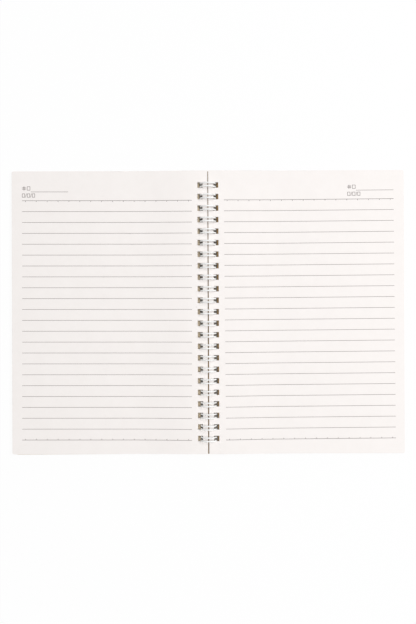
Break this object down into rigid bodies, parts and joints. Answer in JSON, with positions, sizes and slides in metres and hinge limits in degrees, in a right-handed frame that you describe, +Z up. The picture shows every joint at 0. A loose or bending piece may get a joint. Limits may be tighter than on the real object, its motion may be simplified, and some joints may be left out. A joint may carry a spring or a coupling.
{
  "type": "wire-bound notebook",
  "caption": "Ruled notebook bound with a white twin-loop wire, lying open flat near its middle; the covers and the pages turn on the wire.",
  "frame": {"origin": "on the table, under the middle of the binding", "axes": "+X across the pages to the right, +Y up the spine to the head of the pages, +Z up from the table"},
  "size_m": [0.2888, 0.209, 0.012],
  "materials": {
    "page_paper": "uncoated warm white paper",
    "kraft_board": "plain brown kraft board",
    "white_wire": "white nylon-coated steel wire",
    "grey_ink": "thin warm grey print on paper"
  },
  "bodies": {
    "binding": {"back_cover": "kraft_board", "twin_wire": "white_wire"},
    "front_cover": {"front_cover": "kraft_board"},
    "left_pages": {"left_pages": "page_paper", "left_print": "grey_ink"},
    "right_pages": {"right_pages": "page_paper", "right_print": "grey_ink"}
  },
  "joints": [
    {"name": "front_cover_turn", "type": "hinge", "parent": "binding", "child": "front_cover", "pos_m": [0, 0, 0.006], "axis": [0, 1, 0], "range_deg": [0, 180]},
    {"name": "left_pages_turn", "type": "hinge", "parent": "front_cover", "child": "left_pages", "pos_m": [0, 0, 0.006], "axis": [0, 1, 0], "range_deg": [0, 180]},
    {"name": "right_pages_turn", "type": "hinge", "parent": "binding", "child": "right_pages", "pos_m": [0, 0, 0.006], "axis": [0, -1, 0], "range_deg": [0, 180]}
  ]
}
